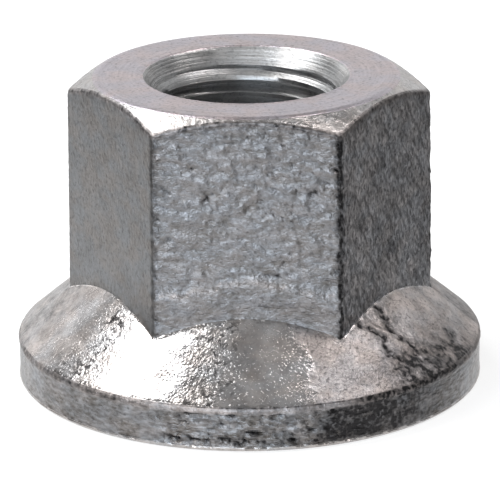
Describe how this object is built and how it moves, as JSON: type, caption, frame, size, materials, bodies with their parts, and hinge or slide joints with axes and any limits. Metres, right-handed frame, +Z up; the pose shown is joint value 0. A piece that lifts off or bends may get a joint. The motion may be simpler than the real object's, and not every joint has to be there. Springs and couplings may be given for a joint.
{
  "type": "serrated flange nut",
  "caption": "Tall forged hexagon nut in one piece with a wide coned flange, tapped through, with ratchet serrations on its bearing face.",
  "frame": {"origin": "centre of the bearing face, on the thread axis, at the bottom of the nut", "axes": "+Z up the thread axis from the bearing face to the top face; two flats of the hexagon face +Y and -Y"},
  "size_m": [0.04, 0.04, 0.0265],
  "materials": {
    "zinc_plated_steel": "zinc plated over forged and turned steel: rough grey flats, bright cone, finely turned top face and countersink"
  },
  "bodies": {
    "root": {"flange_nut": "zinc_plated_steel"}
  },
  "joints": []
}
